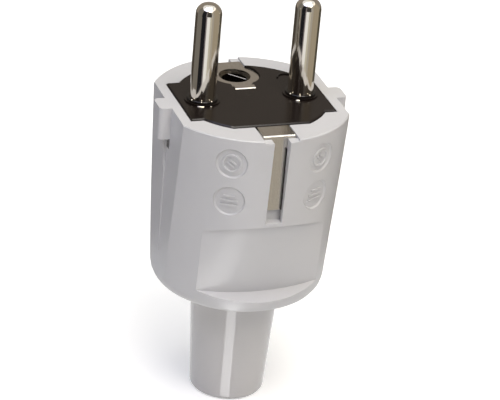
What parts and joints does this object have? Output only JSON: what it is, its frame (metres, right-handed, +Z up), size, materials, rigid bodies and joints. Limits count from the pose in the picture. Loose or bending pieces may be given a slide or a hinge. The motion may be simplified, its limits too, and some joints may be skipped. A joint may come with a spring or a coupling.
{
  "type": "type f plug",
  "caption": "Rewireable earthed mains plug with two round pins, side earth clips and an earth socket hole in a dark face, a grey grip cover and a straight cord sleeve.",
  "frame": {"origin": "centre of the cord sleeve's open end, which the plug stands on", "axes": "+Z runs up along the pins; +X runs from the left pin to the right pin as seen from the front; -Y faces the front side with the round marks, and the earth hole is at +Y"},
  "size_m": [0.0362, 0.0368, 0.0803],
  "materials": {
    "cover_plastic": "fine satin moulded, light grey",
    "sleeve_plastic": "smooth glossy moulded, light grey",
    "insert_plastic": "fine moulded, very dark brown-grey",
    "holder_plastic": "moulded, black",
    "bracket_metal": "nickel-plated strip, warm",
    "tube_metal": "bare brass",
    "terminal_brass": "bare brass",
    "pin_metal": "bright nickel plate over brass",
    "screw_steel": "zinc-plated"
  },
  "bodies": {
    "root": {"cover": "cover_plastic", "cord_sleeve": "sleeve_plastic", "pin_insert": "insert_plastic", "insert_holder": "holder_plastic", "earth_bracket": "bracket_metal", "earth_tube": "tube_metal", "earth_terminal": "terminal_brass", "earth_clamp_plate": "screw_steel", "earth_terminal_screw": "screw_steel", "cord_clamp": "holder_plastic", "pin_left": "pin_metal", "pin_right": "pin_metal", "terminal_screw_left": "screw_steel", "terminal_screw_right": "screw_steel", "holder_screw_left": "screw_steel", "holder_screw_right": "screw_steel", "clamp_screw_left": "screw_steel", "clamp_screw_right": "screw_steel", "clamp_nut_left": "screw_steel", "clamp_nut_right": "screw_steel"}
  },
  "joints": []
}
